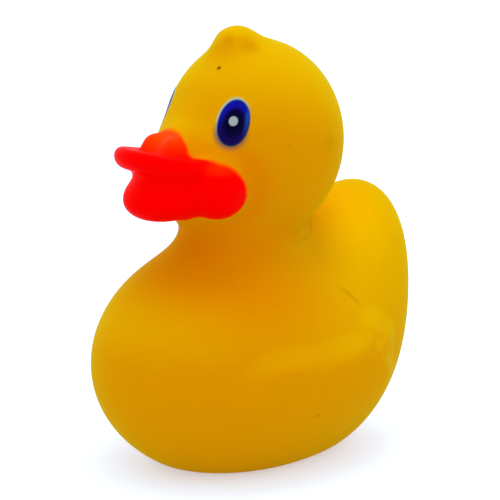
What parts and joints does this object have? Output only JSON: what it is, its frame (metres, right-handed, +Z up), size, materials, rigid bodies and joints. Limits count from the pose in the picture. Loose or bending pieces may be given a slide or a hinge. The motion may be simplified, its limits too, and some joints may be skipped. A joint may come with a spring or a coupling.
{
  "type": "rubber duck",
  "caption": "Hollow moulded bath duck with an upright tail, a painted open bill and painted oval eyes, standing on a flat base.",
  "frame": {"origin": "on the ground, in the middle of the trunk's footprint, on the flat base", "axes": "-Y forwards towards the bill, +X to the duck's left, +Z up"},
  "size_m": [0.0534, 0.0734, 0.0896],
  "materials": {
    "vinyl": "satin yellow soft vinyl, with red paint on the bill and blue, black and off-white paint on the eyes"
  },
  "bodies": {
    "root": {"duck_shell": "vinyl"}
  },
  "joints": []
}
